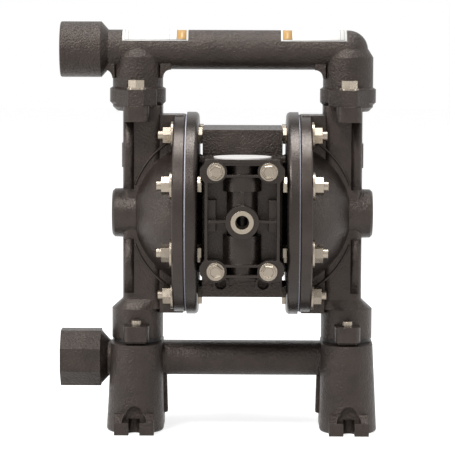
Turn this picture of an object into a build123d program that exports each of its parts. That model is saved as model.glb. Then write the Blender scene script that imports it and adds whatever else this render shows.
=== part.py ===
"""Air operated double diaphragm pump, one inch, metal bodied.

Frame: +Z up, +X along the diaphragm rod towards the closed end of the manifolds, -Y towards the air valve.
The origin lies midway between the four feet, on the plane that they stand on. Lengths are in millimetres.
"""

import os
from math import asin, copysign, cos, radians, sin, sqrt, tan

from build123d import *

os.makedirs("parts", exist_ok=True)

# ---------------------------------------------------------------- driving dimensions
# general arrangement
ROD_Z = 182.0  # height of the diaphragm rod
COLUMN_X = 88.0  # check valve columns, left and right of the middle
INLET_JOINT_Z = 74.0  # top of the inlet manifold
OUTLET_JOINT_Z = 273.0  # underside of the outlet manifold
INLET_PIPE_DROP = 14.5  # pipe axis below the inlet joint
OUTLET_PIPE_RISE = 46.0  # pipe axis above the outlet joint
SLIDING_FIT = 0.05  # radial clearance of a shaft that slides in its bore
NEST_FIT = 0.2  # clearance of a spigot that only locates
RUNNING_GAP = 0.3  # clearance between faces that pass or meet in use

# diaphragm chambers
CAP_RADIUS = 85.0
FLUID_FLANGE_RADIUS = 83.5
AIR_FLANGE_INNER_X = 36.5
AIR_FLANGE_OUTER_X = 46.5
DIAPHRAGM_THICKNESS = 1.0
DIAPHRAGM_SETBACK = 0.6  # of its rim inside the flange of the fluid cap
BACKUP_THICKNESS = 2.0
FLUID_FLANGE_THICKNESS = 10.0
CHAMBER_RADIUS = 58.0
BACKUP_RADIUS = 66.0
CLAMP_RADIUS = 36.0
ROLL_HEIGHT = 6.0  # how far the free ring of a diaphragm bows outwards
AIR_EDGE_ROUND = 3.5

# bolted rims
BOLT_COUNT = 8
BOLT_CIRCLE = 72.0
BOLT_RADIUS = 4.0
BOLT_HOLE_RADIUS = 4.5
NUT_ACROSS_FLATS = 13.0
NUT_HEIGHT = 6.8
WASHER_RADIUS = 11.5
WASHER_THICKNESS = 1.8
LOW_HEAD_HEIGHT = 3.2
BOLT_POINT = 4.0  # thread that stands out of a nut
FLANGE_HEAD_RADIUS = 8.0
FLANGE_HEAD_THICKNESS = 1.6
HEX_HEAD_HEIGHT = 6.4

# fluid caps
DOME_CENTRE_X = 30.75
DOME_RADIUS = 62.0
END_BOSS_X = 109.0
END_BOSS_RADIUS = 21.0
END_BOSS_TIP_RADIUS = 20.3
END_BOSS_CHAMFER = 2.0
DOME_WALL = 5.0
DUCT_INNER_X = 67.0
DUCT_OUTER_X = 100.0
DUCT_HALF_DEPTH = 16.5
DUCT_CORNER = 7.0
DUCT_WALL = 4.5
SHOULDER_TOP_RISE = 36.5  # above the inlet joint
SHOULDER_FOOT_RISE = 28.0
FOOT_CYLINDER_RADIUS = 21.5
WEB_HALF_DEPTH = 15.5
LUG_WIDTH = 21.0
LUG_FRONT = 40.0
LUG_HEIGHT = 13.0
PAD_HEIGHT = 20.0
PAD_RISE = 39.0  # above the rod
CAP_COLLAR_RADIUS = 21.0
CAP_COLLAR_HEIGHT = 5.0
PAD_STEP = 1.0

# check valves
BALL_RADIUS = 15.875
BALL_LIFT = 7.0
BALL_CHAMBER_RADIUS = 17.5
SEAT_BORE = 12.0
SEAT_CONTACT_RADIUS = 13.0
SEAT_RIM_RADIUS = 20.0
SEAT_RIM_HEIGHT = 3.0
SEAT_BODY_HEIGHT = 5.0
SEAT_CONE_HEIGHT = 4.0

# manifolds
OUTLET_PIPE_RADIUS = 16.5
OUTLET_BORE = 12.5
NOZZLE_RADIUS = 21.0
NOZZLE_SHOULDER_RISE = 40.0  # above the outlet joint
NOZZLE_SLOPE_RADIUS = 11.5
NOZZLE_SLOPE_RISE = 15.5
NOZZLE_CROWN_RISE = 19.0
NOZZLE_FILLET = 7.0  # gussets between a nozzle and the pipe
GUSSET_HALF_DEPTH = 12.0
RING_RADIUS = 23.4
RING_HEIGHT = 13.5
OUTLET_BOLT_Y = 31.5
LUG_NOSE_WIDTH = 12.6
LUG_SHOULDER_Y = 27.0
LUG_ROOT_WIDTH = 33.0
PORT_END_X = -152.5
PORT_FACE_X = -118.5
PORT_NECK_X = -112.5
PORT_RADIUS = 23.25
PORT_THREAD_RADIUS = 15.15
PORT_THREAD_LENGTH = 22.0
INLET_PIPE_HEIGHT = 28.0
INLET_PIPE_DEPTH = 36.0
INLET_BORE = 10.5
INLET_BOLT_INSET = 12.0  # bolt axis from the front of a leg

# legs and feet
LEG_TOP_WIDTH = 43.0
LEG_FOOT_WIDTH = 48.0
LEG_LEAN = 1.3  # how far the foot of a leg stands outside its top
LEG_EDGE_ROUND = 2.5
LEG_DEPTH = 80.0
LEG_WALL = 4.0
LEG_HOLLOW_Z = 42.0
POCKET_WIDTH = 18.0
BOLT_PLATE = 11.0  # thickness of the leg's top over the bolt pockets
FOOT_WIDTH = 33.0
FOOT_FRONT = 47.0
FOOT_HEIGHT = 10.5
FOOT_SLOPE_Z = 17.0
FOOT_INNER = 27.0
SLOT_WIDTH = 9.2
SLOT_END = 36.0
SPOTFACE_RADIUS = 10.0
SPOTFACE_Y = 46.0
LEG_RIB = 3.0  # rib down the inner side of a leg
LEG_RIB_FOOT = 14.0
LEG_RIB_HALF_DEPTH = 7.0

# centre section
BODY_HALF_WIDTH = 33.0
BODY_TOP = 72.0  # above the rod
BODY_BOTTOM = 65.0  # below the rod
BODY_DEPTH = 54.0  # front and back of the rod
BODY_STEP_Y = 40.0
BODY_STEP = 50.5
LIP_HEIGHT = 4.5
LIP_HALF_WIDTH = 35.3
HUB_FACE_X = 20.0
RECESS_RADIUS = 49.0
RECESS_FLOOR_RADIUS = 44.0
SPIGOT_RADIUS = 16.0
AIR_CAP_FLOOR_X = 25.0
GASKET_THICKNESS = 0.8
SCREW_CIRCLE = 32.0
CENTRE_SCREW_RADIUS = 2.5
CENTRE_HEAD_RADIUS = 5.0
CENTRE_SCREW_LENGTH = 16.0
TEST_PORT_X = 17.5
TEST_PORT_Z = 54.0
TEST_PORT_RING = 6.9
TEST_PORT_BORE = 4.7

# moving group
ROD_RADIUS = 10.0
BUSHING_RADIUS = 13.0
BUSHING_LENGTH = 9.0
STROKE = 11.0
AIR_WASHER_THICKNESS = 6.0
FLUID_WASHER_THICKNESS = 6.0
CLAMP_SCREW_RADIUS = 6.0
CLAMP_HEAD_RADIUS = 11.0
CLAMP_HEAD_HEIGHT = 6.5
CLAMP_SCREW_LENGTH = 26.0
PILOT_RADIUS = 4.0
PILOT_SLEEVE_RADIUS = 7.0
PILOT_DROP = 24.0  # pilot rod below the diaphragm rod
PILOT_RATIO = 0.35

# air valve
BLOCK_HALF_WIDTH = 30.4
BLOCK_BOTTOM = 48.0  # below the rod
BLOCK_BASE = 13.0  # depths of the air valve, counted from the front of the body
BLOCK_FRONT = 34.0
RIB_FRONT = 33.0
PAD_FRONT = 24.0
SIDE_PAD_TOP = 17.0  # above and below the rod
SIDE_PAD_BOTTOM = 9.0
SIDE_PAD_WIDTH = 9.0
INLET_BOSS_FRONT = 40.0
SPOOL_DEPTH = 17.0
DISC_DEPTH = 10.0
RAIL = 2.4
RIB = 2.2
SPOOL_RADIUS = 9.0
SPOOL_HALF_LENGTH = 30.0
SPOOL_TRAVEL = 6.0
SPOOL_HOUSING_RADIUS = 15.7
SPOOL_NECK_RADIUS = 11.6
BLOCK_SCREW_X = 21.4
BLOCK_SCREW_Z = 40.5
EAR_X = 34.3
POST_RADIUS = 9.0
BLOCK_SCREW_RADIUS = 3.0
BLOCK_HEAD_RADIUS = 7.8
BLOCK_HEX_RADIUS = 6.2
BLOCK_HEAD_HEIGHT = 6.0
BLOCK_SCREW_REACH = 11.0  # into the body
BLOCK_WASHER_THICKNESS = 1.4
INSERT_STANDOUT = 0.6
INLET_BOSS_RADIUS = 13.5
INLET_INSERT_RADIUS = 9.3
AIR_THREAD_RADIUS = 5.7
AIR_THREAD_LENGTH = 13.0
AIR_WAY_RADIUS = 4.5
DISC_RADIUS = 23.5
DISC_THICKNESS = 1.0

# exhaust
EXHAUST_RADIUS = 9.0
MUFFLER_RADIUS = 21.0
MUFFLER_LENGTH = 40.0
MUFFLER_NECK = 7.0
MUFFLER_HEX_RADIUS = 12.0

# ---------------------------------------------------------------- derived places
INLET_PIPE_Z = INLET_JOINT_Z - INLET_PIPE_DROP
OUTLET_PIPE_Z = OUTLET_JOINT_Z + OUTLET_PIPE_RISE
SHOULDER_TOP_Z = INLET_JOINT_Z + SHOULDER_TOP_RISE
SHOULDER_FOOT_Z = INLET_JOINT_Z + SHOULDER_FOOT_RISE
NOZZLE_SHOULDER_Z = OUTLET_JOINT_Z + NOZZLE_SHOULDER_RISE
INLET_BOLT_Y = LEG_DEPTH / 2 - INLET_BOLT_INSET
FOOT_X = COLUMN_X + LEG_LEAN
FLUID_FACE_X = AIR_FLANGE_OUTER_X + DIAPHRAGM_THICKNESS
FLUID_FLANGE_X = FLUID_FACE_X + FLUID_FLANGE_THICKNESS
OUTLET_SEAT_Z = OUTLET_JOINT_Z + SEAT_RIM_HEIGHT
INLET_SEAT_Z = INLET_JOINT_Z
CAP_FOOT_Z = INLET_SEAT_Z + SEAT_RIM_HEIGHT
CONTACT_ANGLE = asin(SEAT_CONTACT_RADIUS / BALL_RADIUS)
SEAT_CONE_START = SEAT_RIM_HEIGHT + SEAT_BODY_HEIGHT - SEAT_CONE_HEIGHT
SEAT_CONE_RADIUS = SEAT_BORE + SEAT_CONE_HEIGHT / tan(CONTACT_ANGLE)
BALL_ABOVE_SEAT = (
    SEAT_CONE_START
    + (SEAT_CONTACT_RADIUS - SEAT_BORE) * tan(CONTACT_ANGLE)
    + (BALL_RADIUS + RUNNING_GAP) * cos(CONTACT_ANGLE)
    + (RUNNING_GAP * sin(CONTACT_ANGLE)) * tan(CONTACT_ANGLE)
)
CAGE_DROP = BALL_CHAMBER_RADIUS - SEAT_BORE
CAGE_CROWN_RADIUS = BALL_RADIUS + 2 * RUNNING_GAP
CAGE_TOP = BALL_ABOVE_SEAT + BALL_LIFT + CAGE_CROWN_RADIUS * sqrt(2) - SEAT_BORE
CAGE_CROWN = BALL_ABOVE_SEAT + BALL_LIFT + CAGE_CROWN_RADIUS
BODY_FRONT_Y = -BODY_DEPTH
BLOCK_BACK_Y = BODY_FRONT_Y - GASKET_THICKNESS
BLOCK_BASE_Y = BODY_FRONT_Y - BLOCK_BASE
BLOCK_FRONT_Y = BODY_FRONT_Y - BLOCK_FRONT
RIB_FRONT_Y = BODY_FRONT_Y - RIB_FRONT
PAD_FRONT_Y = BODY_FRONT_Y - PAD_FRONT
INLET_BOSS_Y = BODY_FRONT_Y - INLET_BOSS_FRONT
SPOOL_Y = BODY_FRONT_Y - SPOOL_DEPTH
DISC_Y = BODY_FRONT_Y - DISC_DEPTH
DECK_Z = ROD_Z + BODY_STEP
AIR_WASHER_X = AIR_FLANGE_OUTER_X - BACKUP_THICKNESS - AIR_WASHER_THICKNESS
PILOT_END_X = AIR_WASHER_X - STROKE * (1 - PILOT_RATIO) - RUNNING_GAP

# Turned shapes are drawn on planes that lean away from the upright, so that their seams miss the webs and lugs.
HOLLOW_ARC = 1 - sqrt(0.5)  # place of the middle of a hollow quarter arc, as a share of its radius
SEAM_COS = cos(radians(50))
SEAM_SIN = sin(radians(50))
ROD_PLANE = Plane(origin=(0, 0, ROD_Z), x_dir=(1, 0, 0), z_dir=(0, -SEAM_COS, SEAM_SIN))
ROD_AXIS = Axis((0, 0, ROD_Z), (1, 0, 0))


def across_rod(x):
    """Plane square to the rod at x, its own x along +Y and its own y along +Z."""
    return Plane(origin=(x, 0, ROD_Z), x_dir=(0, 1, 0), z_dir=(1, 0, 0))


def facing_front(y, z=ROD_Z):
    """Plane square to Y at y, its own x along +X and its own y along +Z, facing the front."""
    return Plane(origin=(0, y, z), x_dir=(1, 0, 0), z_dir=(0, -1, 0))


def column_plane(x, z=0.0):
    """Upright plane through a check valve column, for profiles turned about it."""
    return Plane(origin=(x, 0, z), x_dir=(SEAM_COS, SEAM_SIN, 0), z_dir=(SEAM_SIN, -SEAM_COS, 0))


def pipe_plane(z):
    """Plane through a level pipe at height z, for profiles turned about the pipe."""
    return Plane(origin=(0, 0, z), x_dir=(1, 0, 0), z_dir=(0, -SEAM_COS, SEAM_SIN))


def column_axis(x):
    return Axis((x, 0, 0), (0, 0, 1))


def bolt_ring():
    """Eight places round the rod, none of them on the upright or the level line."""
    return PolarLocations(BOLT_CIRCLE, BOLT_COUNT, start_angle=180 / BOLT_COUNT)


def save(piece, name):
    piece.part.label = name
    export_step(piece.part, f"parts/{name}.step")


def save_pair(right, name):
    """Writes a right hand piece, and the same piece turned round for the left."""
    save(right, name + "_right")
    with BuildPart() as left:
        add(mirror(right.part, about=Plane.YZ))
    save(left, name + "_left")


# ---------------------------------------------------------------- centre body
with BuildPart() as center_body:
    with BuildSketch(across_rod(-BODY_HALF_WIDTH)):
        with BuildLine():
            Polyline(
                (-BODY_DEPTH, -BODY_BOTTOM),
                (BODY_DEPTH, -BODY_BOTTOM),
                (BODY_DEPTH, BODY_STEP),
                (BODY_STEP_Y, BODY_TOP),
                (-BODY_STEP_Y, BODY_TOP),
                (-BODY_STEP_Y, BODY_STEP),
                (-BODY_DEPTH, BODY_STEP),
                close=True,
            )
        make_face()
    extrude(amount=2 * BODY_HALF_WIDTH)
    with BuildSketch(across_rod(-LIP_HALF_WIDTH)):
        with BuildLine():
            Polyline(
                (-BODY_DEPTH, BODY_STEP - LIP_HEIGHT),
                (-BODY_STEP_Y, BODY_STEP - LIP_HEIGHT),
                (-BODY_STEP_Y, BODY_STEP),
                (-BODY_DEPTH, BODY_STEP),
                close=True,
            )
        make_face()
    extrude(amount=2 * LIP_HALF_WIDTH)
    # conical recesses that take the dishes of the air caps
    with BuildSketch(ROD_PLANE):
        for side in (-1, 1):
            with BuildLine():
                Polyline(
                    (side * HUB_FACE_X, 0),
                    (side * HUB_FACE_X, RECESS_FLOOR_RADIUS),
                    (side * BODY_HALF_WIDTH, RECESS_RADIUS),
                    (side * (LIP_HALF_WIDTH + 1), RECESS_RADIUS),
                    (side * (LIP_HALF_WIDTH + 1), 0),
                    close=True,
                )
            make_face()
    revolve(axis=ROD_AXIS, mode=Mode.SUBTRACT)
    with BuildSketch(across_rod(-AIR_CAP_FLOOR_X)):
        Circle(SPIGOT_RADIUS)
    extrude(amount=2 * AIR_CAP_FLOOR_X)
    # bushing pockets and the bore between them
    with BuildSketch(across_rod(-AIR_CAP_FLOOR_X)):
        Circle(ROD_RADIUS + NEST_FIT)
    extrude(amount=2 * AIR_CAP_FLOOR_X, mode=Mode.SUBTRACT)
    for side in (-1, 1):
        with BuildSketch(across_rod(side * AIR_CAP_FLOOR_X)):
            Circle(BUSHING_RADIUS)
        extrude(amount=-side * BUSHING_LENGTH, mode=Mode.SUBTRACT)
    with BuildSketch(across_rod(-HUB_FACE_X)):
        with Locations((0, -PILOT_DROP)):
            Circle(PILOT_SLEEVE_RADIUS)
        with PolarLocations(SCREW_CIRCLE, 4, start_angle=45):
            Circle(CENTRE_SCREW_RADIUS)
    extrude(amount=2 * HUB_FACE_X, mode=Mode.SUBTRACT)
    # two test ports in raised rings under the air valve
    with BuildSketch(facing_front(BODY_FRONT_Y)):
        with Locations((-TEST_PORT_X, -TEST_PORT_Z), (TEST_PORT_X, -TEST_PORT_Z)):
            Circle(TEST_PORT_RING)
    extrude(amount=GASKET_THICKNESS)
    with BuildSketch(facing_front(BODY_FRONT_Y - GASKET_THICKNESS)):
        with Locations((-TEST_PORT_X, -TEST_PORT_Z), (TEST_PORT_X, -TEST_PORT_Z)):
            Circle(TEST_PORT_BORE)
    extrude(amount=-6, mode=Mode.SUBTRACT)
    # screws of the air valve
    with BuildSketch(facing_front(BODY_FRONT_Y)):
        with GridLocations(2 * BLOCK_SCREW_X, 2 * BLOCK_SCREW_Z, 2, 2):
            Circle(BLOCK_SCREW_RADIUS)
    extrude(amount=-12, mode=Mode.SUBTRACT)
    # exhaust port at the back
    with BuildSketch(Plane(origin=(0, BODY_DEPTH, ROD_Z), x_dir=(-1, 0, 0), z_dir=(0, 1, 0))):
        Circle(EXHAUST_RADIUS)
    extrude(amount=-18, mode=Mode.SUBTRACT)
save(center_body, "center_body")

# ---------------------------------------------------------------- air caps
AIR_CAP_BACK_X = HUB_FACE_X + GASKET_THICKNESS
CONE_FIT = 0.6
with BuildPart() as air_cap:
    with BuildSketch(ROD_PLANE):
        with BuildLine():
            Polyline(
                (AIR_FLANGE_INNER_X + AIR_EDGE_ROUND, CAP_RADIUS),
                (AIR_FLANGE_OUTER_X, CAP_RADIUS),
                (AIR_FLANGE_OUTER_X, BACKUP_RADIUS),
                (AIR_FLANGE_OUTER_X - BACKUP_THICKNESS, BACKUP_RADIUS),
                (AIR_FLANGE_OUTER_X - BACKUP_THICKNESS, CHAMBER_RADIUS),
                (AIR_FLANGE_INNER_X + 4.5, CHAMBER_RADIUS - 6),
                (AIR_FLANGE_INNER_X + 4.0, RECESS_RADIUS - 4),
                (AIR_CAP_FLOOR_X, RECESS_FLOOR_RADIUS - 5),
                (AIR_CAP_FLOOR_X, SPIGOT_RADIUS + NEST_FIT),
                (AIR_CAP_BACK_X, SPIGOT_RADIUS + NEST_FIT),
                (AIR_CAP_BACK_X, RECESS_FLOOR_RADIUS - CONE_FIT),
                (BODY_HALF_WIDTH, RECESS_RADIUS - CONE_FIT),
                (AIR_FLANGE_INNER_X, RECESS_RADIUS + 1),
                (AIR_FLANGE_INNER_X, CAP_RADIUS - AIR_EDGE_ROUND),
            )
            CenterArc(
                (AIR_FLANGE_INNER_X + AIR_EDGE_ROUND, CAP_RADIUS - AIR_EDGE_ROUND), AIR_EDGE_ROUND, 90, 90
            )
        make_face()
    revolve(axis=ROD_AXIS)
    with BuildSketch(across_rod(AIR_FLANGE_INNER_X)):
        with bolt_ring():
            Circle(BOLT_HOLE_RADIUS)
    extrude(amount=AIR_FLANGE_OUTER_X - AIR_FLANGE_INNER_X, mode=Mode.SUBTRACT)
    with BuildSketch(across_rod(AIR_CAP_BACK_X)):
        with Locations((0, -PILOT_DROP)):
            Circle(PILOT_SLEEVE_RADIUS + NEST_FIT)
    extrude(amount=AIR_CAP_FLOOR_X - AIR_CAP_BACK_X, mode=Mode.SUBTRACT)
    with Locations(across_rod(AIR_CAP_FLOOR_X)):
        with PolarLocations(SCREW_CIRCLE, 4, start_angle=45):
            CounterSinkHole(CENTRE_SCREW_RADIUS + NEST_FIT, CENTRE_HEAD_RADIUS + NEST_FIT, depth=6)
save_pair(air_cap, "air_cap")

with BuildPart() as air_cap_gasket:
    with BuildSketch(across_rod(HUB_FACE_X)):
        Circle(RECESS_FLOOR_RADIUS - CONE_FIT)
        Circle(SPIGOT_RADIUS + NEST_FIT, mode=Mode.SUBTRACT)
        with Locations((0, -PILOT_DROP)):
            Circle(PILOT_SLEEVE_RADIUS + NEST_FIT, mode=Mode.SUBTRACT)
        with PolarLocations(SCREW_CIRCLE, 4, start_angle=45):
            Circle(CENTRE_SCREW_RADIUS + NEST_FIT, mode=Mode.SUBTRACT)
    extrude(amount=GASKET_THICKNESS)
save_pair(air_cap_gasket, "air_cap_gasket")

with BuildPart() as air_cap_screws:
    with Locations(across_rod(AIR_CAP_FLOOR_X)):
        with PolarLocations(SCREW_CIRCLE, 4, start_angle=45):
            Cone(
                CENTRE_SCREW_RADIUS - NEST_FIT,
                CENTRE_HEAD_RADIUS,
                CENTRE_HEAD_RADIUS - CENTRE_SCREW_RADIUS + NEST_FIT,
                align=(Align.CENTER, Align.CENTER, Align.MAX),
            )
            Cylinder(
                CENTRE_SCREW_RADIUS - NEST_FIT,
                CENTRE_SCREW_LENGTH,
                align=(Align.CENTER, Align.CENTER, Align.MAX),
            )
save_pair(air_cap_screws, "air_cap_screws")

# ---------------------------------------------------------------- fluid caps
DUCT_WIDTH = DUCT_OUTER_X - DUCT_INNER_X
DUCT_X = (DUCT_OUTER_X + DUCT_INNER_X) / 2
BOLT_TIP_X = FLUID_FLANGE_X + WASHER_THICKNESS + NUT_HEIGHT + BOLT_POINT


def dome_point(radius, height):
    """Point of a dome's outline at the given distance from the rod."""
    return (DOME_CENTRE_X + sqrt(radius**2 - height**2), height)


with BuildPart() as fluid_cap:
    # flange, dome and end boss
    dome_foot = sqrt(DOME_RADIUS**2 - (FLUID_FLANGE_X - DOME_CENTRE_X) ** 2)
    with BuildSketch(ROD_PLANE):
        with BuildLine():
            Polyline(
                (FLUID_FACE_X, 0),
                (FLUID_FACE_X, FLUID_FLANGE_RADIUS - 1),
                (FLUID_FACE_X + 1, FLUID_FLANGE_RADIUS),
                (FLUID_FLANGE_X - 1, FLUID_FLANGE_RADIUS),
                (FLUID_FLANGE_X, FLUID_FLANGE_RADIUS - 1),
                dome_point(DOME_RADIUS, dome_foot),
            )
            ThreePointArc(
                dome_point(DOME_RADIUS, dome_foot),
                dome_point(DOME_RADIUS, 2 * END_BOSS_RADIUS),
                dome_point(DOME_RADIUS, END_BOSS_RADIUS),
            )
            Polyline(
                dome_point(DOME_RADIUS, END_BOSS_RADIUS),
                (END_BOSS_X - END_BOSS_CHAMFER, END_BOSS_TIP_RADIUS),
                (END_BOSS_X, END_BOSS_TIP_RADIUS - END_BOSS_CHAMFER),
                (END_BOSS_X, 0),
                (FLUID_FACE_X, 0),
            )
        make_face()
    revolve(axis=ROD_AXIS)
    # upright duct, with its web to the flange
    with BuildSketch(Plane.XY.offset(SHOULDER_FOOT_Z)):
        with Locations((DUCT_X, 0)):
            RectangleRounded(DUCT_WIDTH, 2 * DUCT_HALF_DEPTH, DUCT_CORNER)
    extrude(amount=OUTLET_JOINT_Z - SHOULDER_FOOT_Z)
    web_half_height = FLUID_FLANGE_RADIUS - 0.5
    with BuildSketch(across_rod(FLUID_FACE_X + 2)):
        Rectangle(2 * WEB_HALF_DEPTH, 2 * web_half_height)
    extrude(amount=DUCT_INNER_X + 2 - FLUID_FACE_X - 2)
    with BuildSketch(Plane.XY.offset(ROD_Z + PAD_RISE)):
        with Locations((DUCT_X + PAD_STEP, 0)):
            RectangleRounded(DUCT_WIDTH, 2 * DUCT_HALF_DEPTH - 4, DUCT_CORNER - 1)
    extrude(amount=PAD_HEIGHT)
    # foot: a cone from the duct to the cylinder that holds the inlet ball
    with BuildSketch(Plane.XY.offset(SHOULDER_TOP_Z)):
        with Locations((DUCT_X, 0)):
            RectangleRounded(DUCT_WIDTH, 2 * DUCT_HALF_DEPTH, DUCT_CORNER)
    with BuildSketch(Plane.XY.offset(SHOULDER_FOOT_Z)):
        with Locations((COLUMN_X, 0)):
            Circle(FOOT_CYLINDER_RADIUS)
    loft()
    with BuildSketch(Plane.XY.offset(CAP_FOOT_Z)):
        with Locations((COLUMN_X, 0)):
            Circle(FOOT_CYLINDER_RADIUS)
    extrude(amount=SHOULDER_FOOT_Z - CAP_FOOT_Z)
    # bolt lugs, front and back
    with BuildSketch(Plane.XY.offset(CAP_FOOT_Z)):
        with Locations((COLUMN_X, 0)):
            RectangleRounded(LUG_WIDTH, 2 * LUG_FRONT, 6)
    extrude(amount=LUG_HEIGHT)
    with BuildSketch(Plane.XY.offset(OUTLET_JOINT_Z)):
        with Locations((COLUMN_X, 0)):
            RectangleRounded(LUG_WIDTH, 2 * LUG_FRONT, 6)
    extrude(amount=-LUG_HEIGHT)
    # round flange under the outlet joint, and the collar that enters the manifold
    with BuildSketch(column_plane(COLUMN_X, OUTLET_JOINT_Z)):
        with BuildLine():
            Polyline(
                (0, 0),
                (CAP_COLLAR_RADIUS, 0),
                (CAP_COLLAR_RADIUS, -1.5),
                (CAP_COLLAR_RADIUS - CAP_COLLAR_HEIGHT + 1.5, -CAP_COLLAR_HEIGHT),
                (0, -CAP_COLLAR_HEIGHT),
                close=True,
            )
        make_face()
    revolve(axis=column_axis(COLUMN_X))
    with BuildSketch(Plane.XY.offset(OUTLET_JOINT_Z)):
        with Locations((COLUMN_X, 0)):
            Circle(SEAT_RIM_RADIUS)
    extrude(amount=SEAT_RIM_HEIGHT)
    # pumping chamber
    with BuildSketch(ROD_PLANE):
        with BuildLine():
            inner_radius = DOME_RADIUS - DOME_WALL
            inner_foot = sqrt(inner_radius**2 - (FLUID_FACE_X + 3 - DOME_CENTRE_X) ** 2)
            Polyline(
                dome_point(inner_radius, 0),
                (FLUID_FACE_X, 0),
                (FLUID_FACE_X, CHAMBER_RADIUS),
                dome_point(inner_radius, inner_foot),
            )
            ThreePointArc(
                dome_point(inner_radius, inner_foot),
                dome_point(inner_radius, inner_foot / 2),
                dome_point(inner_radius, 0),
            )
        make_face()
    revolve(axis=ROD_AXIS, mode=Mode.SUBTRACT)
    # passages up and down from the chamber
    passage_x = (DUCT_INNER_X + DUCT_OUTER_X) / 2
    passage_width = DUCT_WIDTH - 2 * DUCT_WALL
    passage_depth = 2 * (DUCT_HALF_DEPTH - DUCT_WALL)
    with BuildSketch(Plane.XY.offset(INLET_SEAT_Z + CAGE_TOP - 1)):
        with Locations((passage_x, 0)):
            RectangleRounded(passage_width, passage_depth, 3)
    extrude(amount=ROD_Z - 15 - (INLET_SEAT_Z + CAGE_TOP - 1), mode=Mode.SUBTRACT)
    with BuildSketch(Plane.XY.offset(ROD_Z + 15)):
        with Locations((passage_x, 0)):
            RectangleRounded(passage_width, passage_depth, 3)
    extrude(amount=OUTLET_JOINT_Z - 5 - (ROD_Z + 15), mode=Mode.SUBTRACT)
    with BuildSketch(Plane.XY.offset(OUTLET_JOINT_Z - 5)):
        with Locations((passage_x, 0)):
            RectangleRounded(passage_width, passage_depth, 3)
    with BuildSketch(Plane.XY.offset(OUTLET_SEAT_Z)):
        with Locations((COLUMN_X, 0)):
            Circle(SEAT_BORE)
    loft(mode=Mode.SUBTRACT)
    # cage of the inlet ball
    with BuildSketch(column_plane(COLUMN_X, INLET_SEAT_Z)):
        with BuildLine():
            Polyline(
                (0, SEAT_RIM_HEIGHT),
                (BALL_CHAMBER_RADIUS, SEAT_RIM_HEIGHT),
                (BALL_CHAMBER_RADIUS, CAGE_TOP - CAGE_DROP),
                (SEAT_BORE, CAGE_TOP),
            )
            RadiusArc((SEAT_BORE, CAGE_TOP), (0, CAGE_CROWN), -CAGE_CROWN_RADIUS)
            Line((0, CAGE_CROWN), (0, SEAT_RIM_HEIGHT))
        make_face()
    revolve(axis=column_axis(COLUMN_X), mode=Mode.SUBTRACT)
    # rim bolts, and the bolts of both manifolds
    with BuildSketch(across_rod(FLUID_FACE_X)):
        with bolt_ring():
            Circle(BOLT_HOLE_RADIUS)
    extrude(amount=FLUID_FLANGE_THICKNESS, mode=Mode.SUBTRACT)
    with BuildSketch(Plane.XY.offset(CAP_FOOT_Z)):
        with Locations((COLUMN_X, -INLET_BOLT_Y), (COLUMN_X, INLET_BOLT_Y)):
            Circle(BOLT_HOLE_RADIUS)
    extrude(amount=LUG_HEIGHT + 8, mode=Mode.SUBTRACT)
    with BuildSketch(Plane.XY.offset(OUTLET_JOINT_Z)):
        with Locations((COLUMN_X, -OUTLET_BOLT_Y), (COLUMN_X, OUTLET_BOLT_Y)):
            Circle(BOLT_HOLE_RADIUS)
    extrude(amount=-LUG_HEIGHT, mode=Mode.SUBTRACT)
save_pair(fluid_cap, "fluid_cap")

# ---------------------------------------------------------------- outlet manifold
with BuildSketch() as lug_outline:
    with BuildLine():
        Polyline(
            (-LUG_ROOT_WIDTH / 2, -LUG_SHOULDER_Y),
            (-LUG_NOSE_WIDTH / 2, -LUG_FRONT),
            (LUG_NOSE_WIDTH / 2, -LUG_FRONT),
            (LUG_ROOT_WIDTH / 2, -LUG_SHOULDER_Y),
            (LUG_ROOT_WIDTH / 2, LUG_SHOULDER_Y),
            (LUG_NOSE_WIDTH / 2, LUG_FRONT),
            (-LUG_NOSE_WIDTH / 2, LUG_FRONT),
            (-LUG_ROOT_WIDTH / 2, LUG_SHOULDER_Y),
            close=True,
        )
    make_face()

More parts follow.
